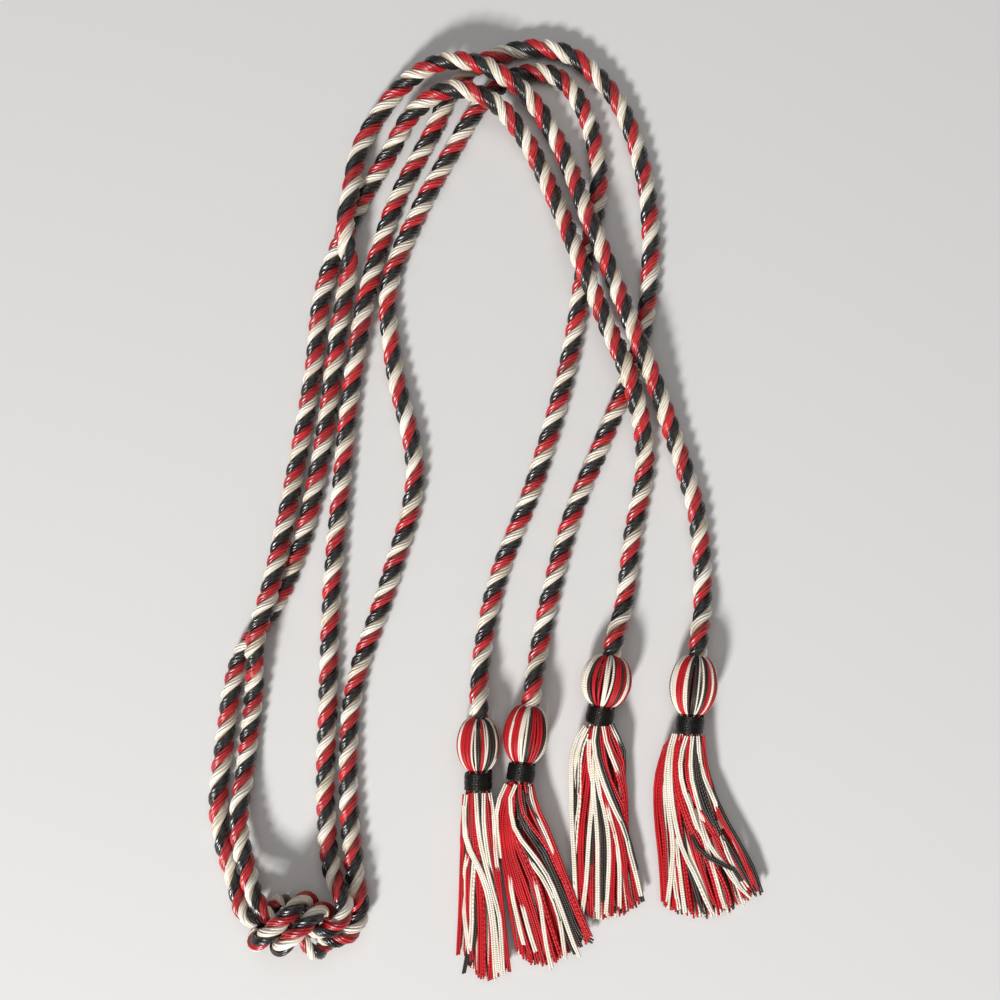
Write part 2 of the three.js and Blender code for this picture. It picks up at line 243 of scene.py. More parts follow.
def laid_rayon(name, face, deep, gloss):
    """Bright rayon: filaments run along each yarn of the ply, and its colour darkens between the yarns as
    painted shade.
    """
    material = bpy.data.materials.new(name)
    material.use_nodes = True
    tree = material.node_tree
    shader = tree.nodes["Principled BSDF"]
    run = add_node(tree, "ShaderNodeUVMap", uv_map="run")
    across = add_node(tree, "ShaderNodeSeparateXYZ", {0: run.outputs[0]}).outputs[0]
    filament_grid = add_node(
        tree, "ShaderNodeVectorMath", {0: run.outputs[0], 1: (1 / streak_wide, 1 / streak_long, 1)},
        operation="MULTIPLY",
    )
    filaments = add_node(
        tree, "ShaderNodeTexNoise", {"Vector": filament_grid.outputs[0], "Scale": 1, "Detail": 2}
    )
    yarn_grid = add_node(
        tree, "ShaderNodeVectorMath", {0: run.outputs[0], 1: (1 / patch_wide, 1 / patch_long, 1)},
        operation="MULTIPLY",
    )
    patches = add_node(tree, "ShaderNodeTexNoise", {"Vector": yarn_grid.outputs[0], "Scale": 1, "Detail": 1})
    in_yarn = add_node(tree, "ShaderNodeMath", {0: across, 1: yarn_wide / mm / 2}, operation="PINGPONG")
    in_ply = add_node(
        tree, "ShaderNodeMath", {0: across, 1: yarn_wide / mm * yarns_in_ply / 2}, operation="PINGPONG"
    )
    # Painted shade: the colour darkens towards the grooves between the yarns and towards the edges of each
    # ply.
    shade_between_yarns = add_node(
        tree, "ShaderNodeMapRange",
        {"Value": in_yarn.outputs[0], "From Max": yarn_shade_wide, "To Min": -yarn_shade, "To Max": 0.0},
    )
    shade_between_plies = add_node(
        tree, "ShaderNodeMapRange",
        {"Value": in_ply.outputs[0], "From Max": ply_shade_wide, "To Min": -ply_shade, "To Max": 0.0},
    )
    depth = add_node(tree, "ShaderNodeMath", {0: shade_between_yarns.outputs[0], 1: shade_between_plies.outputs[0]}, operation="ADD")
    streaks = add_node(
        tree, "ShaderNodeMath", {0: filaments.outputs[0], 1: patches.outputs[0]}, operation="ADD"
    )
    share = add_node(
        tree, "ShaderNodeMapRange", {"Value": streaks.outputs[0], "From Min": 0.7, "From Max": 1.15},
        clamp=False,
    )
    both = add_node(
        tree, "ShaderNodeMath", {0: share.outputs[0], 1: depth.outputs[0]}, operation="ADD", use_clamp=True
    )
    colour = add_node(
        tree, "ShaderNodeMix", {0: both.outputs[0], 6: linear(deep), 7: linear(face)}, data_type="RGBA"
    )
    bump = add_node(
        tree, "ShaderNodeBump",
        {"Height": filaments.outputs[0], "Distance": filament_height * mm, "Strength": 0.8},
    )
    tree.links.new(colour.outputs[2], shader.inputs["Base Color"])
    tree.links.new(bump.outputs[0], shader.inputs["Normal"])
    shader.inputs["Roughness"].default_value = gloss
    shader.inputs["IOR"].default_value = 1.55
    shader.inputs["Specular IOR Level"].default_value = 0.75
    shader.inputs["Sheen Weight"].default_value = 0.15
    shader.inputs["Sheen Roughness"].default_value = 0.4
    return material


# Each ply's face colour, its deep colour for darker streaks and for the painted shade in its grooves, and its
# roughness.
ply_finishes = [
    laid_rayon("red rayon ply", "D8171F", "64060A", 0.31),
    laid_rayon("black rayon ply", "151312", "030303", 0.27),
    laid_rayon("ivory rayon ply", "FFFAF0", "B8A27E", 0.36),
]


def ply_outline(girth, run, seed):
    """The cord's section as distances from its middle: three bulging plies, each a bundle of four yarns."""
    chance = random.Random(seed)
    outward = half_thickness * cord_diameter * girth
    distances = []
    for _ in range(plies):
        swollen_ply = 1 + swell * math.sin(run / ply_swell_run + chance.uniform(0, 6))
        for yarn in range(yarns_in_ply):
            swollen_yarn = 1 + swell * math.sin(run / yarn_swell_run + chance.uniform(0, 6))
            for part in range(points_in_yarn):
                share = (yarn + part / points_in_yarn) / yarns_in_ply
                lean = math.radians(360 / plies) * (share - 0.5)
                out = ply_middle * math.cos(lean)
                out += math.sqrt(ply_reach**2 - (ply_middle * math.sin(lean)) ** 2)
                groove = yarn_groove * (1 - math.sin(math.pi * part / points_in_yarn))
                distances.append(outward * (out * swollen_ply * swollen_yarn - groove))
    return distances


def twisted_cord(name, rows, turns, seed):
    """A cord as one closed mesh: a grid rolled up round the cord's line, a ring for each step along it."""
    line, girths = smooth_line(rows)
    into_heads = [
        end + (end - inner) / np.linalg.norm(end - inner) * tail_in_head
        for end, inner in ((line[0], line[1]), (line[-1], line[-2]))
    ]
    line = np.vstack([into_heads[0], line, into_heads[1]]) + np.array(layout_shift)
    line, girths = spaced_evenly(line, np.concatenate([[1], girths, [1]]), ring_step)
    in_ply = yarns_in_ply * points_in_yarn
    around = plies * in_ply
    steps = len(line) - 1
    frames = carried_frames(line)

    bm = bmesh.new()
    place = bm.verts.layers.int.new("place")
    ring_number = bm.verts.layers.int.new("ring")
    unfolded = Matrix.LocRotScale(Vector((around / 2, steps / 2, 0)), None, Vector((around, steps, 1)))
    bmesh.ops.create_grid(bm, x_segments=around, y_segments=steps, size=0.5, matrix=unfolded)
    first_column, last_column = {}, {}
    for vert in bm.verts:
        column, row = round(vert.co.x), round(vert.co.y)
        vert[place], vert[ring_number] = column % around, row
        if column in (0, around):
            (last_column if column else first_column)[row] = vert
    bmesh.ops.weld_verts(bm, targetmap={last_column[row]: first_column[row] for row in last_column})
    run = np.arange(len(line)) * ring_step / mm - tail_in_head / mm
    turned = first_turn + np.interp(run, *np.array(turns).T)
    outlines = [ply_outline(girth, number * ring_step, seed) for number, girth in enumerate(girths.tolist())]
    spots = [Vector(spot) for spot in line.tolist()]
    for vert in bm.verts:
        number = vert[ring_number]
        side, up = frames[number]
        angle = math.tau * (float(turned[number]) + vert[place] / around)
        out = outlines[number][vert[place]]
        vert.co = spots[number] + out * (math.cos(angle) * side + math.sin(angle) * up)
        vert.co.z = max(vert.co.z, 0.0)
    ends = [edge for edge in bm.edges if edge.is_boundary]
    bmesh.ops.edgeloop_fill(bm, edges=ends)
    bmesh.ops.recalc_face_normals(bm, faces=bm.faces)

    run_map = bm.loops.layers.uv.new("run")
    step_wide = yarn_wide / points_in_yarn / mm
    for face in bm.faces:
        places = [vert[place] for vert in face.verts]
        first = min(places) if max(places) - min(places) == 1 else around - 1
        face.smooth = len(places) == 4
        face.material_index = first // in_ply if face.smooth else 0
        for loop, spot in zip(face.loops, places):
            across = spot if face.smooth and spot >= first else around
            loop[run_map].uv = (across * step_wide, loop.vert[ring_number] * ring_step / mm)
    mesh = bpy.data.meshes.new(name)
    bm.to_mesh(mesh)
    bm.free()
    for finish in ply_finishes:
        mesh.materials.append(finish)
    piece = bpy.data.objects.new(name, mesh)
    bpy.context.scene.collection.objects.link(piece)
    return piece, line


for name, lead, knot, tail, long, turns, seed in (
    ("cord_1", cord_1_lead, cord_1_knot, cord_1_tail, cord_1_long, cord_1_turns, 11),
    ("cord_2", cord_2_lead, cord_2_knot, cord_2_tail, cord_2_long, cord_2_turns, 12),
):
    piece, line = twisted_cord("laid_" + name, [*lead, *knot_rows(knot), *tail], turns, seed)
    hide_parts(name)
    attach(piece, "root")

# The tassels: each is a hank of chainette rayon yarn in the three colours, looped over the cord's end, bound
# at the neck and cut to a fringe. The head's loops bulge like a melon, and the fringe lies fanned on the
# table.
head_long = 0.0210
head_wide = 0.0185
head_flatness = 0.94
neck_diameter = 0.0092
neck_height = 0.0072
band_long = 0.0070
band_clearance = 0.0003
butt_gap = 0.0005
skirt_long = 0.0750
skirt_thick = 0.0072
yarn_radius = 0.00044
yarn_sides = 6
# The head's yarns: their number, how thick they are in yarn radii, how deep some lie, and how they stray.
head_yarns = 68
head_yarn_thickness = (1.15, 1.45)
head_yarn_crowding = 1.6
head_yarn_thinnest = 0.35
head_yarn_sunk = (0, 0.0003)
head_yarn_shift = 0.2
head_core = 0.0005
head_swirl = 0.09
head_wander = 0.05
head_ripple = 0.035
neck_fill = 0.9
# The fringe: its middle height and half thickness from the neck down, in skirt thicknesses, then its lower
# yarns and how they stray. A yarn is squeezed at the neck and a little thinner at its cut end.
skirt_levels = [(0.47, 0.6), (0.37, 0.5), (0.3, 0.4)]
fringe_rows = 4
fringe_columns = 30
fringe_rings = 10
fringe_shift_across = 0.35
fringe_shift_up = 0.2
fringe_slack = 0.12
fringe_ripple = 0.03
fringe_flatness = 2.1
neck_squeeze = 0.62
cut_unevenness = 0.02
cut_end = 0.85
# The fringe's top yarns: how far the points, the layers and the pair lie apart, and how thick a yarn is at
# the neck and further down. One that starts or ends in mid fringe comes up from under the others, or dives.
top_step = 0.0055
top_hundredths = 106
top_lift = (0.0001, 0.0011)
top_pair = 0.95
top_pair_shift = (0.85, 1.1)
top_thickness = (0.75, 0.35)
top_flatness = (0.92, 0.3)
top_cut = 0.0012
top_dive = 1.6
comes_up_past, dives_before = 9, 78
head_outline = [(0.30, -0.03), (0.46, 0.0), (0.68, 0.06), (0.87, 0.2), (0.99, 0.42), (0.99, 0.6), (0.87, 0.8),
                (0.66, 0.95), (0.49, 1.02)]
# How each tassel lies: its end on the cord, its turn, its head's size, and the fringe's two edges and tip as
# shares of the fringe's length, across and along. "front" names the head's yarns from left to right, each
# letter for two, and "laid" the top yarns of the fringe, each line for a pair, with its places in hundredths
# of that length: r is red, w ivory and k black.
tassel_lies = {
    "tassel_1": {
        "end": cord_2_tail[-1], "turn": -0.7, "head": 0.94, "width": 0.935,
        "left": [(-0.09, 0.2), (-0.08, 0.47), (-0.1, 0.79)],
        "right": [(0.08, 0.2), (0.11, 0.47), (0.16, 0.87)],
        "tip": (0.04, 0.95),
        "front": "rwwrrrrwkrwkkwwkw",
        "laid": [
            ("r", (-7, 2), (-8, 31), (-9, 67), (-10, 88)),
            ("k", (-5, 1), (-6, 20), (-4, 43), (-1, 67), (-4, 92)),
            ("k", (-4, 1), (-3, 30), (-3, 60), (-5, 85), (-7, 97)),
            ("r", (-4, 1), (-4, 22), (-5, 39), (-5, 62), (-3, 90)),
            ("r", (-2, 1), (-2, 20), (0, 46), (1, 67), (1, 100)),
            ("r", (-1, 1), (-1, 22), (2, 50), (3, 70), (3, 98)),
            ("w", (-3, 22), (-5, 33), (-7, 45), (-7, 56)),
            ("w", (-1, 25), (-2, 39), (-3, 57), (-3, 70), (-4, 84)),
            ("w", (-6, 55), (-7, 60), (-6, 73), (-4, 86)),
            ("k", (1, 1), (2, 18), (4, 34), (7, 48), (8, 60), (10, 78)),
            ("r", (4, 1), (6, 24), (9, 45), (12, 60), (14, 80), (16, 96)),
            ("r", (5, 1), (8, 28), (11, 50), (13, 70), (13, 92)),
            ("r", (3, 30), (6, 60), (7, 80), (6, 101)),
            ("w", (6, 1), (8, 14), (9, 35), (11, 48), (11, 55)),
            ("w", (3, 1), (3, 17), (5, 34), (7, 46), (8, 53)),
            ("w", (-1, 1), (0, 18), (2, 31), (5, 43), (8, 55), (11, 67), (12, 82), (13, 98)),
            ("w", (-6, 2), (-7, 15), (-5, 28), (0, 39), (5, 51), (8, 68), (11, 97)),
            ("w", (-7, 8), (-6, 27), (-1, 38), (4, 51), (7, 68), (9, 99)),
        ],
    },
    "tassel_2": {
        "end": cord_1_tail[-1], "turn": -7.9, "head": 1.02, "width": 0.97,
        "left": [(-0.11, 0.21), (-0.08, 0.47), (-0.02, 0.84)],
        "right": [(0.11, 0.21), (0.205, 0.465), (0.34, 0.79)],
        "tip": (0.125, 0.92),
        "front": "rrrwrrrwwkrrrkwww",
        "laid": [
            ("r", (-5, 1), (-9, 14), (-9, 31), (-6, 49), (-1, 70), (5, 91)),
            ("r", (-5, 2), (-8, 18), (-7, 35), (-3, 52), (3, 70), (9, 96)),
            ("r", (-4, 2), (-6, 18), (-5, 35), (0, 54), (7, 76), (12, 97)),
            ("r", (-4, 2), (-5, 22), (-3, 38), (3, 55), (9, 75), (15, 96)),
            ("r", (-3, 2), (-4, 24), (0, 38), (6, 53), (12, 73), (18, 96)),
            ("r", (-3, 2), (-3, 25), (3, 40), (9, 54), (15, 74), (21, 93)),
            ("w", (-6, 40), (-4, 59), (-1, 73), (2, 87)),
            ("w", (-1, 55), (1, 64), (4, 76), (8, 90)),
            ("w", (4, 42), (7, 51), (10, 62), (13, 84), (16, 99)),
            ("k", (-2, 20), (2, 34), (8, 43), (15, 54), (20, 70), (25, 84), (28, 92)),
            ("w", (1, 30), (5, 41), (11, 50), (16, 60), (20, 72), (23, 94)),
            ("k", (0, 2), (-1, 14), (3, 25), (9, 34), (15, 46), (20, 59), (26, 75), (31, 88)),
            ("k", (1, 4), (5, 26), (12, 36), (18, 50), (25, 66), (30, 80), (37, 85)),
            ("r", (3, 1), (5, 12), (9, 22), (16, 36), (22, 52), (28, 68), (35, 84)),
            ("r", (0, 1), (1, 14), (7, 25), (14, 34), (19, 46), (25, 58), (30, 70), (34, 86)),
            ("k", (4, 1), (4, 10), (9, 20), (14, 31), (19, 44)),
            ("w", (5, 1), (7, 13), (12, 25), (16, 34), (19, 42), (22, 50)),
            ("r", (6, 1), (9, 14), (12, 20), (17, 33), (24, 52), (30, 68), (36, 83)),
            ("w", (-7, 1), (-11, 11), (-12, 21), (-11, 30), (-10, 42)),
            ("w", (-2, 1), (-5, 9), (-4, 18), (-2, 26), (5, 36), (12, 46), (17, 56), (21, 67), (26, 82),
             (30, 93)),
        ],
    },
    "tassel_3": {
        "end": cord_2_lead[0], "turn": -10.8, "head": 0.9, "width": 1.075,
        "left": [(-0.14, 0.22), (-0.125, 0.54), (-0.12, 0.9)],
        "right": [(0.14, 0.22), (0.15, 0.54), (0.22, 0.9)],
        "tip": (0.02, 0.99),
        "front": "wwwwkrrwwkrrkrwrr",
        "laid": [
            ("r", (-4, 2), (-6, 15), (-8, 27), (-10, 42), (-11, 65), (-10, 95)),
            ("r", (-3, 2), (-5, 20), (-6, 35), (-8, 50), (-9, 73), (-7, 96)),
            ("k", (-5, 2), (-8, 9), (-10, 18), (-10, 25), (-12, 50), (-12, 80)),
            ("w", (-6, 5), (-9, 14), (-10, 25), (-10, 40), (-12, 60), (-13, 96)),
            ("k", (-2, 30), (-3, 50), (-4, 65), (-4, 88)),
            ("r", (-3, 60), (-4, 80), (-4, 101)),
            ("w", (-5, 8), (-5, 21), (-3, 32), (-5, 57), (-7, 86), (-9, 101)),
            ("k", (0, 25), (0, 42), (2, 57), (2, 84), (2, 95)),
            ("w", (-4, 10), (-3, 34), (-2, 46), (-1, 61), (-1, 80), (-1, 104)),
            ("w", (-3, 15), (0, 35), (4, 54), (5, 69), (3, 102)),
            ("r", (-1, 20), (2, 38), (7, 55), (7, 75), (6, 102)),
            ("w", (1, 30), (5, 48), (8, 59), (10, 73), (10, 98)),
            ("r", (0, 20), (5, 40), (10, 61), (13, 80), (16, 99)),
            ("r", (3, 20), (8, 45), (13, 70), (14, 90), (17, 97)),
            ("r", (1, 1), (2, 15), (6, 31), (12, 44), (14, 57), (17, 80), (19, 96)),
            ("k", (5, 30), (11, 52), (16, 70), (19, 82), (22, 95)),
            ("r", (4, 1), (6, 12), (11, 21), (13, 31), (14, 47), (14, 60)),
            ("r", (3, 1), (4, 10), (9, 25), (13, 40), (14, 55), (15, 70)),
            ("r", (6, 1), (9, 11), (12, 19), (13, 35)),
            ("k", (7, 0), (10, 7), (13, 15), (13, 22), (13, 30)),
            ("w", (6, 0), (9, 6), (12, 15), (12, 24)),
            ("w", (2, 1), (4, 11), (8, 21), (11, 31), (12, 40)),
            ("k", (0, 1), (-1, 11), (2, 24), (6, 36), (10, 47), (14, 58), (19, 78)),
            ("w", (-2, 1), (-3, 10), (-1, 21), (3, 34), (8, 46), (13, 57), (16, 70), (19, 82), (21, 92)),
            ("w", (-7, 1), (-12, 9), (-14, 19), (-14, 31), (-14, 50), (-13, 70), (-12, 97)),
            ("w", (-6, 2), (-10, 11), (-12, 21), (-13, 30)),
        ],
    },
    "tassel_4": {
        "end": cord_1_lead[0], "turn": -6.6, "head": 1.06, "width": 1.02,
        "left": [(-0.15, 0.22), (-0.16, 0.52), (-0.15, 0.86)],
        "right": [(0.12, 0.25), (0.22, 0.52), (0.35, 0.81)],
        "tip": (0.09, 0.93),
        "front": "wwwrrrwkkwkrwrrww",
        "laid": [
            ("r", (-8, 1), (-12, 6), (-15, 16), (-17, 26), (-17, 45), (-15, 68), (-14, 90)),
            ("r", (-7, 2), (-11, 10), (-14, 20), (-15, 37), (-13, 60), (-13, 92)),
            ("r", (-5, 1), (-7, 14), (-7, 30), (-4, 60), (-2, 80), (0, 96)),
            ("r", (-5, 5), (-7, 50), (-7, 70), (-7, 93)),
            ("w", (-8, 40), (-7, 60), (-5, 79), (-3, 96)),
            ("w", (-9, 45), (-9, 64), (-8, 80), (-6, 94)),
            ("r", (-4, 30), (-1, 46), (3, 60), (6, 72), (12, 92)),
            ("r", (-3, 40), (1, 60), (5, 75), (10, 90)),
            ("k", (-5, 45), (-2, 66), (2, 82), (6, 96)),
            ("w", (-4, 50), (0, 65), (5, 78), (11, 97)),
            ("r", (-5, 1), (-8, 14), (-7, 30), (-3, 43), (0, 52), (7, 64), (12, 80), (15, 93)),
            ("r", (-4, 1), (-6, 16), (-5, 31), (-2, 42), (4, 55), (10, 67), (17, 80), (20, 92)),
            ("w", (3, 40), (8, 60), (12, 74), (17, 94)),
            ("r", (3, 42), (11, 52), (16, 64), (23, 78), (27, 88)),
            ("r", (0, 30), (8, 44), (16, 58), (24, 72), (30, 84)),
            ("w", (12, 55), (16, 68), (22, 78), (30, 88)),
            ("w", (5, 45), (11, 62), (19, 71), (26, 84)),
            ("k", (8, 40), (15, 52), (22, 64), (30, 80), (33, 86)),
            ("w", (12, 40), (17, 58), (22, 71), (29, 83)),
            ("r", (10, 30), (16, 46), (23, 57), (29, 71), (35, 85)),
            ("r", (9, 25), (15, 42), (21, 53), (27, 66), (32, 82)),
            ("k", (8, 20), (14, 36), (20, 49), (26, 60), (32, 72), (36, 86)),
            ("k", (2, 1), (2, 14), (4, 29), (8, 42), (13, 51), (18, 60)),
            ("k", (3, 1), (4, 16), (7, 31), (11, 43), (16, 55), (20, 66)),
            ("r", (7, 1), (8, 14), (10, 25), (14, 38)),
            ("w", (4, 1), (5, 14), (8, 25), (13, 36), (15, 45), (17, 52)),
            ("r", (0, 1), (-2, 14), (-1, 26), (3, 36), (7, 46)),
            ("w", (1, 1), (0, 14), (1, 26), (4, 37), (7, 48)),
            ("w", (-2, 1), (-5, 13), (-4, 27), (0, 39), (3, 49), (7, 60)),
            ("w", (-8, 0), (-10, 7), (-12, 22), (-11, 41), (-9, 60), (-12, 91)),
            ("w", (-7, 0), (-9, 8), (-10, 23), (-8, 45), (-4, 62), (2, 75), (10, 95)),
            ("k", (-3, 46), (0, 52), (5, 63), (13, 68), (23, 73), (26, 79)),
        ],
    },
}
# Chainette's patterns, in millimetres: the stitches, where each yarn's begin, their legs, and slow patches
# across and along a yarn, with the stitches' height last. The colour deepens between the stitches as painted
# shade.
# Real stitches are about 0.5 mm long, too fine to show, so they are drawn at 0.84 mm.
stitch_long = 0.84
stitch_offset = 0.37
leg_wide = 0.35
chain_patch = (4, 12)
stitch_height = 0.12


def chainette_rayon(name, face, deep, gloss):
    """Knitted chainette: a thin tube of rayon stitches, whose rows of small Vs run along the yarn, with
    painted shade between them.
    """
    material = bpy.data.materials.new(name)
    material.use_nodes = True
    tree = material.node_tree
    shader = tree.nodes["Principled BSDF"]
    run = add_node(tree, "ShaderNodeUVMap", uv_map="run")
    parts = add_node(tree, "ShaderNodeSeparateXYZ", {0: run.outputs[0]})
    leg = add_node(tree, "ShaderNodeMath", {0: parts.outputs[0], 1: leg_wide}, operation="PINGPONG")
    stitch = add_node(tree, "ShaderNodeMath", {0: parts.outputs[1], 1: leg.outputs[0]}, operation="ADD")
    wave = add_node(tree, "ShaderNodeMath", {0: stitch.outputs[0], 1: stitch_long / 2}, operation="PINGPONG")
    slow_grid = add_node(
        tree, "ShaderNodeVectorMath", {0: run.outputs[0], 1: (1 / chain_patch[0], 1 / chain_patch[1], 1)},
        operation="MULTIPLY",
    )
    patches = add_node(tree, "ShaderNodeTexNoise", {"Vector": slow_grid.outputs[0], "Scale": 1, "Detail": 3})
    # The stitches' Vs are the knit's own pattern; the deep colour between them is painted shade of its
    # hollows.
    both = add_node(
        tree, "ShaderNodeMath", {0: wave.outputs[0], 1: 2.2, 2: patches.outputs[0]}, operation="MULTIPLY_ADD"
    )
    share = add_node(
        tree, "ShaderNodeMapRange", {"Value": both.outputs[0], "From Min": 0.45, "From Max": 1.2}
    )
    colour = add_node(
        tree, "ShaderNodeMix", {0: share.outputs[0], 6: linear(deep), 7: linear(face)}, data_type="RGBA"
    )
    bump = add_node(
        tree, "ShaderNodeBump",
        {"Height": wave.outputs[0], "Distance": stitch_height * mm, "Strength": 0.8},
    )
    tree.links.new(colour.outputs[2], shader.inputs["Base Color"])
    tree.links.new(bump.outputs[0], shader.inputs["Normal"])
    shader.inputs["Roughness"].default_value = gloss
    shader.inputs["Specular IOR Level"].default_value = 0.3
    return material


yarn_finishes = {
    "r": chainette_rayon("red chainette", "DB1E27", "58070C", 0.42),
    "w": chainette_rayon("ivory chainette", "FFFAF0", "BFA982", 0.45),
    # The black yarn's face colour is lighter than the yarn itself: a painted highlight on the crowns of its
    # stitches.
    "k": chainette_rayon("black chainette", "403A35", "030303", 0.38),
}


def bundle_of_yarns(name, yarns):
    """One mesh of round yarns. A yarn is its points, its radius at each of them and its colour."""
    curve = bpy.data.curves.new(name, "CURVE")
    curve.dimensions = "3D"
    curve.bevel_depth = 1.0
    curve.bevel_resolution = yarn_sides // 2 - 2
    curve.use_fill_caps = True
    for finish in yarn_finishes.values():
        curve.materials.append(finish)
    for points, radii, colour in yarns:
        spline = curve.splines.new("POLY")
        spline.points.add(len(points) - 1)
        for point, spot, radius in zip(spline.points, points, radii):
            point.co = (*spot, 1)
            point.radius = radius
        spline.material_index = list(yarn_finishes).index(colour)
    holder = bpy.data.objects.new(name, curve)
    bpy.context.scene.collection.objects.link(holder)
    bpy.context.view_layer.update()
    mesh = bpy.data.meshes.new_from_object(holder)
    bpy.data.objects.remove(holder)
    bpy.data.curves.remove(curve)
    mesh.name = name
    mesh.uv_layers[0].name = "run"
    # The map of a bevelled curve runs from 0 to 1 along it and round it, so it is turned and spread to
    # millimetres. Each yarn starts in another place of the pattern.
    spread = np.empty((len(mesh.loops), 2), dtype=np.float32)
    mesh.uv_layers["run"].uv.foreach_get("vector", spread.ravel())
    sizes, starts = [], []
    for number, (points, radii, _) in enumerate(yarns):
        long = float(np.linalg.norm(np.diff(np.array(points), axis=0), axis=1).sum()) / mm
        loops = (len(points) - 1) * yarn_sides * 4 + 2 * 3 * (yarn_sides - 2)
        sizes.append(np.tile((math.tau * max(radii) / mm, long), (loops, 1)))
        starts.append(np.tile((0.0, stitch_offset * number), (loops, 1)))
    spread = spread[:, ::-1] * np.concatenate(sizes) + np.concatenate(starts)
    mesh.uv_layers["run"].uv.foreach_set("vector", spread.ravel())
    mesh.polygons.foreach_set("use_smooth", [True] * len(mesh.polygons))
    return mesh


def tassel_frame(lie):
    """The tassel's turn, its end on the cord, its neck's far end, and the lengths of its head and of both."""
    long = head_long * lie["head"]
    axis_long = long + band_long + 2 * band_clearance
    lean = math.asin((lie["end"][2] - neck_height) / axis_long)
    turn = Euler((lean, 0, math.radians(lie["turn"])), "XYZ").to_quaternion()
    end = Vector(lie["end"][:3]) + layout_shift
    waist = end + turn @ Vector((0, -axis_long - butt_gap, 0))
    return turn, end, waist, long, axis_long


def head_loops(lie, chance):
    """The head's yarns, each from the cord's end over the bulge and into the neck."""
    turn, end, _, long, axis_long = tassel_frame(lie)
    half_wide = head_wide * lie["width"] / 2
    rows = [(out * half_wide, -down * long - butt_gap, 0) for out, down in head_outline]
    rows.append((neck_diameter / 2 * neck_fill, -axis_long - butt_gap, 0))
    outline, _ = smooth_line(rows, 2)
    loops = []
    for i in range(head_yarns):
        shift = chance.uniform(-head_yarn_shift, head_yarn_shift)
        angle = math.tau * ((i + 0.5 + shift) / head_yarns - 0.25)
        swirl = head_swirl * math.sin(3 * angle + lie["turn"]) + chance.uniform(-head_wander, head_wander)
        thick = yarn_radius * chance.uniform(*head_yarn_thickness)
        sunk = chance.uniform(*head_yarn_sunk)
        sway = chance.uniform(0, 6)
        points, radii = [], []
        for k, (out, down, _) in enumerate(outline):
            share = k / (len(outline) - 1)
            bend = angle + swirl * math.sin(math.pi * share) + head_ripple * math.sin(5 * share + sway)
            reach = max(out - thick - sunk, head_core)
            spot = end + turn @ Vector((reach * math.sin(bend), down, reach * math.cos(bend) * head_flatness))
            spot.z = max(spot.z, thick)
            points.append(spot)
            room = math.tau * reach / head_yarns / head_yarn_crowding
            radii.append(min(thick, max(room, head_yarn_thinnest * thick)))
        colour = lie["front"][i // 2] if i // 2 < len(lie["front"]) else chance.choice("rrwwk")
        loops.append((points, radii, colour))
    return loops


def fringe_shape(lie):
    """The fringe's edges, middle height and half thickness, as tables along its length."""
    roots = [(side * neck_diameter / skirt_long, 0) for side in (-0.5, 0.5)]
    edges = []
    for root, key in zip(roots, ("left", "right")):
        edge, _ = smooth_line([(x, y, 0) for x, y in [root, *lie[key]]], 4)
        edges.append(edge[:, :2] * skirt_long)
    levels = [(neck_height, neck_diameter / 2, 0)]
    levels += [(middle * skirt_thick, half * skirt_thick, 0) for middle, half in skirt_levels]
    return edges, smooth_line(levels, 4)[0]


def along_table(table, share):
    """A table's two values at a share of its length."""
    places = np.linspace(0, 1, len(table))
    return [float(np.interp(share, places, table[:, k])) for k in (0, 1)]


def hidden_yarns(lie, waist, chance):
    """The fringe's lower yarns: row on row from edge to edge, round at the neck and flat on the table."""
    edges, levels = fringe_shape(lie)
    ends = [Vector(lie[key][-1]) * skirt_long for key in ("left", "right")]
    bulge = Vector(lie["tip"]) * skirt_long - (ends[0] + ends[1]) / 2
    yarns = []
    for row in range(fringe_rows):
        for column in range(fringe_columns):
            shift = chance.uniform(-fringe_shift_across, fringe_shift_across)
            start = 2 * (column + 0.5 + shift) / fringe_columns - 1
            stop = min(max(start + chance.uniform(-fringe_slack, fringe_slack), -0.98), 0.98)
            shift = chance.uniform(-fringe_shift_up, fringe_shift_up)
            level = 2 * (row + 0.5 + shift) / fringe_rows - 1
            sway = chance.uniform(0, math.tau)
            reach = 1 - abs(chance.gauss(0, cut_unevenness))
            points, radii = [], []
            for k in range(fringe_rings + 1):
                along = k / fringe_rings * reach
                across = start + (stop - start) * along**1.5
                settle = min(along * 4, 1)
                round_in = math.sqrt(1 - level * level / 2)
                across = across * (round_in * (1 - settle) + settle)
                across += fringe_ripple * math.sin(7 * along + sway) * settle
                share = min(max((across + 1) / 2, 0.01), 0.99)
                left, right = (Vector(along_table(edge, along)) for edge in edges)
                flat = left.lerp(right, share) + bulge * 4 * share * (1 - share) * along**4
                middle, half = along_table(levels, along)
                radius = yarn_radius * (neck_squeeze + (1 - neck_squeeze) * min(along * 5, 1))
                if k == fringe_rings:
                    radius *= cut_end
                round_over = math.sqrt(1 - across * across / fringe_flatness)
                tall = middle + level * round_over * (half - 2 * radius)
                points.append((waist.x + flat.x, waist.y - flat.y, max(tall, radius)))
                radii.append(radius)
            yarns.append((points, radii, chance.choice("rrrwwk")))
    return yarns


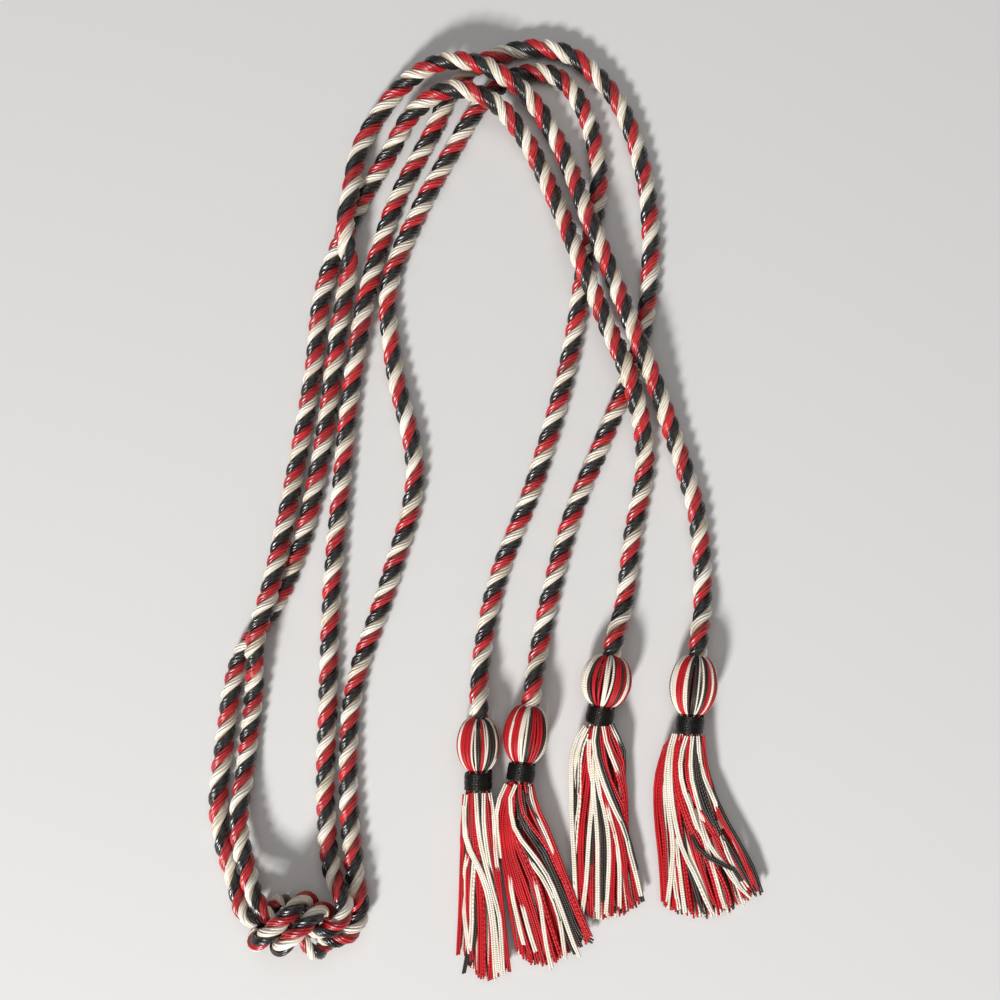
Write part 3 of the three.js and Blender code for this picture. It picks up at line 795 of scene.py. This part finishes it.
def laid_yarns(lie, waist, chance):
    """The fringe's top yarns, in pairs: each follows its own places, a little higher than the one before."""
    edges, levels = fringe_shape(lie)
    yarns = []
    for number, (colour, *places) in enumerate(lie["laid"]):
        rows = [(x / 100 * skirt_long, y / top_hundredths * skirt_long, 0) for x, y in places]
        path, girths = smooth_line(rows, 4)
        path, _ = spaced_evenly(path, girths, top_step)
        heading = np.gradient(path, axis=0)
        beside = np.stack([-heading[:, 1], heading[:, 0], 0 * heading[:, 0]], 1)
        beside *= top_pair * yarn_radius / np.linalg.norm(heading, axis=1)[:, None]
        lift = top_lift[0] + top_lift[1] * number / len(lie["laid"])
        for side in (-1, 1):
            shift = side * chance.uniform(*top_pair_shift)
            cut = chance.uniform(0, top_cut)
            points, radii = [], []
            for k, (x, y, _) in enumerate((path + shift * beside).tolist()):
                y -= cut if k == len(path) - 1 else 0
                along = min(max(y / skirt_long, 0), 1)
                left, right = (along_table(edge, along)[0] for edge in edges)
                across = min(max(2 * (x - left) / (right - left) - 1, -1), 1)
                middle, half = along_table(levels, along)
                radius = yarn_radius * (top_thickness[0] + top_thickness[1] * min(along * 5, 1))
                if k == len(path) - 1:
                    radius *= cut_end
                flatness = top_flatness[0] - top_flatness[1] * along
                tall = middle + math.sqrt(1 - across * across * flatness) * (half - radius) + lift
                dives = [0]
                if places[0][1] > comes_up_past:
                    dives.append(2 - k)
                if places[-1][1] < dives_before:
                    dives.append(3 + k - len(path))
                tall -= max(dives) * radius * top_dive
                points.append((waist.x + x, waist.y - y, max(tall, radius)))
                radii.append(radius)
            yarns.append((points, radii, colour))
    return yarns


for number, (name, lie) in enumerate(tassel_lies.items()):
    chance = random.Random(40 + number)
    waist = tassel_frame(lie)[2]
    yarns = head_loops(lie, chance) + hidden_yarns(lie, waist, chance) + laid_yarns(lie, waist, chance)
    mesh = bundle_of_yarns("yarns of " + name, yarns)
    piece = bpy.data.objects.new("yarns_of_" + name, mesh)
    bpy.context.scene.collection.objects.link(piece)
    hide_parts(name)
    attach(piece, "root")

# The bands: black waxed thread is wound tightly around each tassel's neck, eleven turns side by side. The
# winding swells in the middle and wavers a little, as one made by hand does.
thread_diameter = 0.00060
thread_overlap = 1.1
thread_turns = 11
thread_steps = 28
thread_sides = 8
barrel_swell = 0.05
winding_waver = 0.012
winding_slant = 0.0004
# The thread takes the chainette finish, so its colour too deepens between the stitches as painted shade.
black_thread = chainette_rayon("black waxed thread", "1C1918", "020202", 0.32)
for name, lie in tassel_lies.items():
    turn, _, waist, _, _ = tassel_frame(lie)
    chance = random.Random(name)
    coil_radius = neck_diameter / 2 + band_clearance
    pitch = (band_long - thread_diameter) / thread_turns
    bm = bmesh.new()
    made = bmesh.ops.create_circle(
        bm, segments=thread_sides, radius=thread_diameter / 2 * thread_overlap, cap_ends=True
    )
    for vert in made["verts"]:
        vert.co = Vector((coil_radius + vert.co.x, vert.co.y, 0))
    bmesh.ops.spin(
        bm, geom=bm.verts[:] + bm.edges[:] + bm.faces[:], cent=(0, 0, 0), axis=(0, 1, 0),
        angle=math.tau * thread_turns, steps=thread_steps * thread_turns, dvec=(0, -pitch / thread_steps, 0),
        use_duplicate=False,
    )
    bmesh.ops.recalc_face_normals(bm, faces=bm.faces)
    waves = [(chance.uniform(0.7, 1.3), chance.uniform(0, math.tau)) for _ in range(3)]
    for vert in bm.verts:
        along = -vert.co.y / band_long
        about = math.atan2(vert.co.z, vert.co.x)
        barrel = 1 + barrel_swell * (1 - (2 * along - 1) ** 2)
        wavers = [
            math.sin(7 * k * along * rate + (k + 1) * about + start) for k, (rate, start) in enumerate(waves)
        ]
        barrel += winding_waver * sum(wavers)
        slant = winding_slant * math.sin(about + waves[0][1])
        vert.co = Vector((vert.co.x * barrel, vert.co.y + slant, vert.co.z * barrel))
    run_map = bm.loops.layers.uv.new("run")
    for face in bm.faces:
        face.smooth = True
        for loop in face.loops:
            spot = loop.vert.co
            loop[run_map].uv = (spot.y / mm, math.atan2(spot.z, spot.x) * coil_radius / mm)
    for vert in bm.verts:
        vert.co = waist + turn @ (vert.co + Vector((0, band_clearance + band_long - thread_diameter / 2, 0)))
    mesh = bpy.data.meshes.new(name.replace("tassel", "wound_thread"))
    bm.to_mesh(mesh)
    bm.free()
    mesh.materials.append(black_thread)
    piece = bpy.data.objects.new(name.replace("tassel", "wound_thread"), mesh)
    bpy.context.scene.collection.objects.link(piece)
    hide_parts(name.replace("tassel", "band"))
    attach(piece, "root")

# The room: a plain pale table, one soft lamp low at the lower left, a wide soft sky above and a pale
# surround. The table's top is a hair below zero, so that no yarn lies in its face.
table_half_wide = 3.0
table_below = 0.0001
table = bpy.data.meshes.new("table")
bm = bmesh.new()
bmesh.ops.create_grid(bm, x_segments=1, y_segments=1, size=table_half_wide)
bm.to_mesh(table)
bm.free()
paper = bpy.data.materials.new("pale paper")
paper.use_nodes = True
paper_shader = paper.node_tree.nodes["Principled BSDF"]
paper_shader.inputs["Base Color"].default_value = linear("D9D8D6")
paper_shader.inputs["Roughness"].default_value = 0.9
table.materials.append(paper)
floor = bpy.data.objects.new("table", table)
floor.location.z = -table_below
bpy.context.scene.collection.objects.link(floor)


def soft_lamp(name, azimuth, elevation, distance, size, power):
    """A square lamp that points at the origin from the given degrees round and up, and metres away."""
    lamp = bpy.data.objects.new(name, bpy.data.lights.new(name, "AREA"))
    lamp.data.size = size
    lamp.data.energy = power
    a, e = math.radians(azimuth), math.radians(elevation)
    lamp.location = distance * Vector((math.cos(a) * math.cos(e), math.sin(a) * math.cos(e), math.sin(e)))
    lamp.rotation_euler = lamp.location.to_track_quat("Z", "Y").to_euler()
    bpy.context.scene.collection.objects.link(lamp)


soft_lamp("key", -112, 34, 2.6, 0.4, 80)
soft_lamp("sky", 90, 78, 1.6, 1.4, 6)
world = bpy.data.worlds.new("surround")
world.use_nodes = True
surround = world.node_tree.nodes["Background"]
surround.inputs["Color"].default_value = linear("EDEDED")
surround.inputs["Strength"].default_value = 0.22
bpy.context.scene.world = world
bpy.context.scene.view_settings.view_transform = "Standard"
